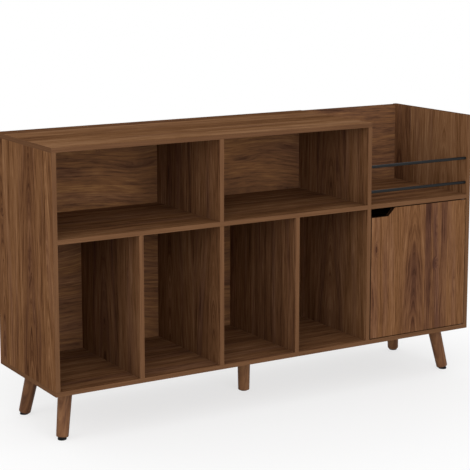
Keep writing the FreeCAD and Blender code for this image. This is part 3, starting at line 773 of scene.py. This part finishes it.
def piece_of_rings(name, rings, body, material, replaced):
    """A smooth closed mesh: quads between rings, and a fan to the middle of each end ring."""
    copies, rows, steps, _ = rings.shape
    ends = rings[:, [0, -1]].mean(axis=2)
    points = np.concatenate([rings.reshape(copies, -1, 3), ends], axis=1)
    here = np.arange(rows * steps).reshape(rows, steps)
    after = np.roll(here, -1, axis=1)
    quads = np.stack([here[:-1], after[:-1], after[1:], here[1:]], axis=-1).reshape(-1, 4)
    pole = np.full(steps, rows * steps)
    fans = np.concatenate([np.stack([pole, after[0], here[0]], axis=-1),
                           np.stack([pole + 1, here[-1], after[-1]], axis=-1)])
    copy = (np.arange(copies) * points.shape[1])[:, None, None]
    faces = (copy + quads).reshape(-1, 4).tolist() + (copy + fans).reshape(-1, 3).tolist()
    mesh = bpy.data.meshes.new(name)
    mesh.from_pydata(points.reshape(-1, 3).tolist(), [], faces)
    mesh.shade_smooth()
    mesh.set_sharp_from_angle(angle=CREASE)
    mesh.materials.append(material)
    piece = new_object(name, mesh)
    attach(piece, body)
    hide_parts(replaced)
    print(f"{name}: {copies} x {2 * rows * steps} triangles")


print("edges stay hard past", round(math.degrees(CREASE)), "degrees")

# %% [markdown]
# ## Turned legs
#
# A leg is turned from solid walnut as a plain taper, then sawn off level at the top so that it
# leans when its plate is screwed on. Boolean cuts would do that, but here every line of the
# taper is simply run up until it meets the level of the saw cut. On the line at angle u, whose
# spoke rises by d for each unit of radius, the cut is at
# s = (cut - foot - radius*d) / (rise + taper*d).
# The finish is stained wood and no paper, so its rings are real cylinders about a heart that
# lies beside the leg, measured in coordinates that lean with it.

# %% Wood of the legs
LEG_LEAN = 0.166              # outward run of a leg's axis for each unit down
# Turned walnut, stained and oiled: a little deeper than the print, with a low sheen.
LEG_COLOURS = ("372319", "4b3121", "603f2a", "724e34", "835d3f")
# The legs' tones hold painted light: each is set to how bright that leg looks in its place, and
# the centre leg's is the palest, to lift it out of the shade under the cabinet.
LEG_TONES_WITH_PAINTED_LIGHT = (0.72, 0.62, 0.5, 0.74, 0.88)   # in the order of LEG_NAMES
LEG_GRAIN = (0.8, 1.3, 1.0)   # shares of broad, middle and fine grain
LEG_HEART = (34 * MM, 21 * MM)    # from the leg's axis to the heart of its log
LEG_RING_TAPER = 0.03
LEG_SKIN = ((0.58, 0.46), 0.6, 0.1)     # roughness when dark and pale, relief, specular level
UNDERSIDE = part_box("bottom_panel")[0].z


def turned_walnut(name, tone, top, lean, seed):
    """Walnut whose grain follows a leaning leg: from each point the leg's lean is taken off."""
    material, add, shader = new_material(f"turned_walnut_oiled_{name}")
    vector, place = object_place(add)
    drop = add("Math", (UNDERSIDE, place["Z"]), "SUBTRACT")
    run = add("VectorMath", ((*lean, 0.0), drop), "SCALE")
    upright = add("VectorMath", (vector, run), "SUBTRACT")
    heart = (top[0] + LEG_HEART[0], top[1] + LEG_HEART[1], 0.0)
    from_heart = add("VectorMath", (upright, heart), "SUBTRACT")
    flat = add("VectorMath", (from_heart, (1.0, 1.0, 0.0)), "MULTIPLY")
    radius = add("VectorMath", (flat,), "LENGTH")
    growth = add("Math", (place["Z"], LEG_RING_TAPER, radius), "MULTIPLY_ADD")
    tone, pores = wood_tone(add, growth, place["Z"], tone, seed, LEG_GRAIN)
    wood_skin(add, shader, coloured(add, tone, LEG_COLOURS), tone, pores, *LEG_SKIN)
    return material


print("legs lean", round(math.degrees(math.atan(LEG_LEAN)), 1), "degrees along each side")

# %% [markdown]
# ## Glides
#
# Each leg ends in a black glide pressed into its foot: a disc that stands level on the floor
# under a leaning leg, with a plain spigot above. Its rim is moulded with a small radius.

# %% Legs and glides
LEG_STEPS = 64                # points round a ring
LEG_ROWS = 12                 # rings up the taper
LEG_TOP_RADIUS = 23 * MM
FOOT_RADIUS = 19.5 * MM
SPLAYED_FOOT = (4.5 * MM, 7 * MM)     # rounding of the wood, and its end's height off the floor
CENTRE_FOOT = (2 * MM, 2.5 * MM)
PLATE_THICKNESS = 3 * MM
GLIDE_RADIUS = 14 * MM
GLIDE_ROUND = 1.2 * MM
GLIDE_CHAMFER = 0.4 * MM
SPIGOT_RADIUS = 2.5 * MM
SPIGOT_LENGTH = 14 * MM
SPIGOT_CHAMFER = (0.6 * MM, 1 * MM)
STUD_RADIUS = 4 * MM
STUD_IN_LEG = 28 * MM
STUD_IN_PANEL = 9 * MM
PLAY = 0.05 * MM              # between a bore and what stands in it
QUARTER = np.linspace(0, np.pi / 2, 6)


def leg_frame(name):
    """Where a leg's axis meets the underside, its lean, its foot, its way up and its rounding."""
    low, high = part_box(f"{name}_leg_plate")
    top = ((low + high) / 2).to_2d()
    lean = np.array([LEG_LEAN * np.sign(round(value, 3)) for value in top])
    up = np.array([-lean[0], -lean[1], 1.0])
    foot_round, end = CENTRE_FOOT if name == "centre" else SPLAYED_FOOT
    foot = np.array([*(np.array(top) + lean * (UNDERSIDE - end)), end])
    return top, lean, foot, up / np.linalg.norm(up), foot_round


def leaning_rings(rows, foot, up):
    """Rings of (radius, height) rows, where each is one value or a value for every step."""
    radius, height = (np.array([values + np.zeros(LEG_STEPS) for values in column])
                      for column in zip(*rows))
    return rings_along(radius, height, [foot], [up])


def spoke_rise(up):
    """How much each spoke of a ring across the axis rises for each unit of radius."""
    return leaning_rings([(1.0, 0.0)], np.zeros(3), up)[0, 0, :, 2]


def rounded(radius, rounding):
    """Rows (radius, height) up a lower edge that is rounded through a quarter turn."""
    return [(radius - rounding * (1 - np.sin(turn)), rounding * (1 - np.cos(turn)))
            for turn in QUARTER]


def leg_rings(foot, up, foot_round):
    """Rings of a leg: up the spigot bore, round the foot, up the taper, down the stud bore."""
    rise = spoke_rise(up)
    cut = UNDERSIDE - PLATE_THICKNESS
    axis_length = (cut - foot[2]) / up[2]
    taper = (LEG_TOP_RADIUS - FOOT_RADIUS) / axis_length
    bore, stud = SPIGOT_RADIUS + PLAY, STUD_RADIUS + PLAY
    to_cut = (cut - foot[2] - FOOT_RADIUS * rise) / (up[2] + taper * rise)
    up_taper = [foot_round + share * (to_cut - foot_round)
                for share in np.linspace(0, 1, LEG_ROWS)[1:]]
    rows = [(bore, SPIGOT_LENGTH), (bore, 0.0), *rounded(FOOT_RADIUS, foot_round),
            *((FOOT_RADIUS + taper * height, height) for height in up_taper),
            (stud, (cut - foot[2] - stud * rise) / up[2]), (stud, axis_length - STUD_IN_LEG)]
    return leaning_rings(rows, foot, up)


def glide_rings(foot, up):
    """Rings of a glide: from the floor, round its rim, in under the foot and up the spigot."""
    rise = spoke_rise(up)
    rows = [(radius, (lift - foot[2] - radius * rise) / up[2])
            for radius, lift in rounded(GLIDE_RADIUS, GLIDE_ROUND)]
    rows += [(GLIDE_RADIUS, -GLIDE_CHAMFER), (GLIDE_RADIUS - GLIDE_CHAMFER, 0.0),
             (SPIGOT_RADIUS, 0.0), (SPIGOT_RADIUS, SPIGOT_LENGTH - SPIGOT_CHAMFER[1]),
             (SPIGOT_RADIUS - SPIGOT_CHAMFER[0], SPIGOT_LENGTH)]
    return leaning_rings(rows, foot, up)


for seed, (name, tone) in enumerate(zip(LEG_NAMES, LEG_TONES_WITH_PAINTED_LIGHT), 20):  # past the boards' seeds
    top, lean, foot, up, foot_round = leg_frame(name)
    wood = turned_walnut(name, tone, top, lean, seed)
    piece_of_rings(f"{name}_turned_leg", leg_rings(foot, up, foot_round), "carcass",
                   wood, f"{name}_leg")
    piece_of_rings(f"{name}_glide", glide_rings(foot, up), "carcass",
                   finish["moulded_black_nylon"], f"{name}_foot_pad")

# %% [markdown]
# ## Threads, flutes and driver's crosses
#
# A thread is a ring whose radius depends on how far the angle has got behind the height, so a
# ridge climbs as it goes round. A flute is a ring whose radius dips a fixed number of times. A
# driver's cross is a ring too: a plus sign is star-shaped about its middle, so it has one radius
# at every angle. All three are profiles carried along an axis, with no cutting at all.

# %% Profiles that aren't round
ROWS_PER_TURN = 8             # rows of points in one turn of a thread
CROSS_WIDTH = math.tan(math.radians(15))    # half width of a bar of the cross, to its length
CROSS_DRAFT = 0.7             # size of the cross at its floor, to that at the face
NEARLY_ZERO = 1e-9            # keeps a division by a sine or cosine from failing


def plain_rows(steps, *points):
    """Round rings, one for each (radius, height) in millimetres."""
    radius, height = np.array(points).T * MM
    return radius[:, None] + np.zeros(steps), height[:, None] + np.zeros(steps)


def thread_rows(steps, start, end, pitch, crest, root):
    """Rings of a thread, in mm. At height z and turn u the radius is
    root + (crest - root) * |1 - 2 * frac(z / pitch - u)|."""
    turns = int((end - start) / pitch)
    height = np.linspace(0, end - start, turns * ROWS_PER_TURN + 1)[:, None] + np.zeros(steps)
    ridge = np.abs(1 - 2 * ((height / pitch - np.arange(steps) / steps) % 1))
    return (root + (crest - root) * ridge) * MM, (start + height) * MM


def cross_outline(steps, reach):
    """Radius of a plus sign at each angle u: the larger of its two bars, where a bar ends at
    min(reach / |cos u|, half width / |sin u|). Steps of 15 degrees meet all its corners."""
    angle = np.arange(steps) * 2 * np.pi / steps
    flat, upright = np.abs(np.cos(angle)) + NEARLY_ZERO, np.abs(np.sin(angle)) + NEARLY_ZERO
    half = reach * CROSS_WIDTH
    return np.maximum(np.minimum(reach / flat, half / upright),
                      np.minimum(reach / upright, half / flat))


def cross_rows(steps, reach, face, depth):
    """The rim of the cross on the head's face, and its floor, drawn in a little."""
    outline = cross_outline(steps, reach)
    return (np.stack([outline, CROSS_DRAFT * outline]) * MM,
            np.stack([np.full(steps, face), np.full(steps, face - depth)]) * MM)


def stacked(*parts):
    """Several runs of rings as one run."""
    return [np.concatenate(arrays) for arrays in zip(*parts)]


print("rows in a turn of a thread:", ROWS_PER_TURN)

# %% [markdown]
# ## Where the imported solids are
#
# A node such as the dowels holds many small solids. Their places could be typed in again, but
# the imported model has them. The triangles of each separate solid in a node are found, and its
# box says where that solid's axis lies and how long it is.

# %% Solids of a node
def corners_of_solids(node):
    """Lowest and highest corners of each separate solid of a CAD node, as (solids, 2, 3).

    Every point starts with its own label and takes the lowest label among the triangles that it
    is in, over and over, until all the points of a solid have the same one.
    """
    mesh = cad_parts[node].data
    points = np.empty(len(mesh.vertices) * 3)
    mesh.vertices.foreach_get("co", points)
    places, same = np.unique(points.reshape(-1, 3), axis=0, return_inverse=True)
    mesh.calc_loop_triangles()
    triangles = np.empty(len(mesh.loop_triangles) * 3, dtype=int)
    mesh.loop_triangles.foreach_get("vertices", triangles)
    triangles = same.reshape(-1)[triangles].reshape(-1, 3)
    label = np.arange(len(places))
    while True:
        lower = label.copy()
        np.minimum.at(lower, triangles, label[triangles].min(axis=1, keepdims=True))
        lower = lower[lower]
        if (lower == label).all():
            break
        label = lower
    return np.array([(places[label == solid].min(0), places[label == solid].max(0))
                     for solid in np.unique(label)])


def solid_axes(node):
    """Middle of each solid of a node, direction of its longest side, and half that side."""
    corners = corners_of_solids(node)
    size = corners[:, 1] - corners[:, 0]
    return corners.mean(axis=1), np.eye(3)[size.argmax(axis=1)], size.max(axis=1)[:, None] / 2


print("solids in the dowels node:", len(corners_of_solids("dowels")))

# %% [markdown]
# ## Screws
#
# Three kinds are used: pan heads under the leg plates and in the catch, and countersunk heads in
# the strike plate. All are chipboard screws, with a sharp coarse thread and a driver's cross.

# %% Screws of the leg plates, the catch and the strike plate
SCREW_STEPS = 24
# Outlines are (radius, height) in mm, and threads are pitch, crest and root radius in mm.
SCREW_TIP = ((0.15, 0), (0.7, 1.4))
SCREW_THREAD = (1.2, 1.5, 1.0)
SCREW_BARE = (1.8, 0.6)       # mm without thread at the point, and under the head


def screw_rings(node, to_head, shank, head, depth, reach):
    """Rings of all the screws of a node: point, thread, head and cross.

    to_head is the direction from the tip to the head; head is the head's outline, with its
    heights above the shank, and its last point is where its flat face begins.
    """
    centre, _, half = solid_axes(node)
    axes = np.tile(np.array(to_head, dtype=float), (len(centre), 1))
    face = shank + head[-1][1]
    profile = stacked(plain_rows(SCREW_STEPS, *SCREW_TIP),
                      thread_rows(SCREW_STEPS, SCREW_BARE[0], shank - SCREW_BARE[1],
                                  *SCREW_THREAD),
                      plain_rows(SCREW_STEPS, *((radius, shank + up) for radius, up in head)),
                      cross_rows(SCREW_STEPS, reach, face, depth))
    return rings_along(*profile, centre - axes * half, axes)


PAN_HEAD = ((1.5, -0.3), (1.5, 0.0), (2.9, 0.0), (3.0, 0.15), (2.95, 0.8), (2.6, 1.4), (2.1, 1.7),
            (1.9, 1.8))
SUNK_HEAD = ((1.5, -0.3), (1.5, 0.0), (2.7, 1.35), (2.8, 1.45), (2.7, 1.5), (1.8, 1.5))
SCREWS = {                    # body, to the head, shank in mm, head, cross depth and reach in mm
    "leg_plate_screws": ("carcass", (0, 0, -1), 13.0, PAN_HEAD, 1.1, 1.7),
    "catch_screws": ("carcass", (1, 0, 0), 16.0, PAN_HEAD, 1.1, 1.7),
    "strike_screws": ("door", (0, 1, 0), 10.0, SUNK_HEAD, 1.0, 1.6),
}
for node, (body, *shape) in SCREWS.items():
    piece_of_rings(f"{node}_threaded", screw_rings(node, *shape), body,
                   finish["zinc_plated_steel"], node)

# %% [markdown]
# ## Cam bolts, studs and dowels
#
# A cam bolt screws into one board's face, and its headed end is gripped by the cam lock in the
# next board's end. So each bolt points at the nearest cam lock. A stud is threaded along its
# whole length and leans with its leg. A dowel is beech, fluted so that glue and air can escape.

# %% Cam bolts, studs and dowels
BOLT_STEPS = 32
STUD_STEPS = 36
DOWEL_FLUTES = 20
DOWEL_STEPS = 4 * DOWEL_FLUTES
FLUTE_DEPTH = 0.35 * MM
BOLT_TIP = ((1.2, 0), (1.8, 0.6))
BOLT_THREADED = (0.9, 10.4)   # mm from the tip to where the thread begins and ends
BOLT_THREAD = (1.5, 2.5, 1.9)
BOLT_SHANK_AND_HEAD = (
    (1.9, 10.7), (2.9, 11.0), (3.0, 11.2), (3.0, 29.2), (2.7, 29.5), (2.0, 29.6), (2.0, 33.4),
    (2.6, 33.5), (3.0, 33.9), (3.0, 36.1), (2.6, 36.5))
STUD_END = ((3.1, 0), (3.4, 0.4))
STUD_BARE = 0.6               # mm without thread at each end
STUD_THREAD = (1.25, 4.0, 3.45)
DOWEL_OUTLINE = ((3.1, 0), (4.0, 1.0), (4.0, 27.0), (3.1, 28.0))


def bolt_rings():
    """Rings of the cam bolts: coarse thread, shank, neck and head."""
    locks = corners_of_solids("cam_locks").mean(axis=1)
    centre, axis, half = solid_axes("cam_bolts")
    ends = np.stack([centre - axis * half, centre + axis * half], axis=1)
    gap = np.linalg.norm(ends[:, :, None] - locks, axis=-1).min(axis=-1)
    axes = np.where(gap[:, 1] < gap[:, 0], 1, -1)[:, None] * axis
    profile = stacked(plain_rows(BOLT_STEPS, *BOLT_TIP),
                      thread_rows(BOLT_STEPS, *BOLT_THREADED, *BOLT_THREAD),
                      plain_rows(BOLT_STEPS, *BOLT_SHANK_AND_HEAD))
    return rings_along(*profile, centre - axes * half, axes)


def stud_rings(name):
    """Rings of one leg's stud, from the bottom of its bore in the leg up into the panel."""
    top, lean, _, up, _ = leg_frame(name)
    mouth = np.array([*(np.array(top) + lean * PLATE_THICKNESS), UNDERSIDE - PLATE_THICKNESS])
    length = (STUD_IN_LEG + PLATE_THICKNESS / up[2] + STUD_IN_PANEL) / MM
    other_end = [(radius, length - height) for radius, height in STUD_END[::-1]]
    profile = stacked(plain_rows(STUD_STEPS, *STUD_END),
                      thread_rows(STUD_STEPS, STUD_BARE, length - STUD_BARE, *STUD_THREAD),
                      plain_rows(STUD_STEPS, *other_end))
    return rings_along(*profile, [mouth - up * STUD_IN_LEG], [up])


def dowel_rings():
    """Rings of the dowels: chamfered ends, and flutes that dip as 0.5 - 0.5 cos(flutes * u)."""
    centre, axes, half = solid_axes("dowels")
    turn = np.arange(DOWEL_STEPS) * 2 * np.pi / DOWEL_STEPS
    flute = FLUTE_DEPTH * (0.5 - 0.5 * np.cos(DOWEL_FLUTES * turn))
    radius, height = plain_rows(DOWEL_STEPS, *DOWEL_OUTLINE)
    return rings_along(radius - flute, height, centre - axes * half, axes)


stud_runs = np.concatenate([stud_rings(name) for name in LEG_NAMES])
for node, rings in (("cam_bolts", bolt_rings()), ("leg_studs", stud_runs)):
    piece_of_rings(f"threaded_{node}", rings, "carcass",
                   finish["zinc_plated_steel"], node)
piece_of_rings("fluted_dowels", dowel_rings(), "carcass", turned_beech(), "dowels")
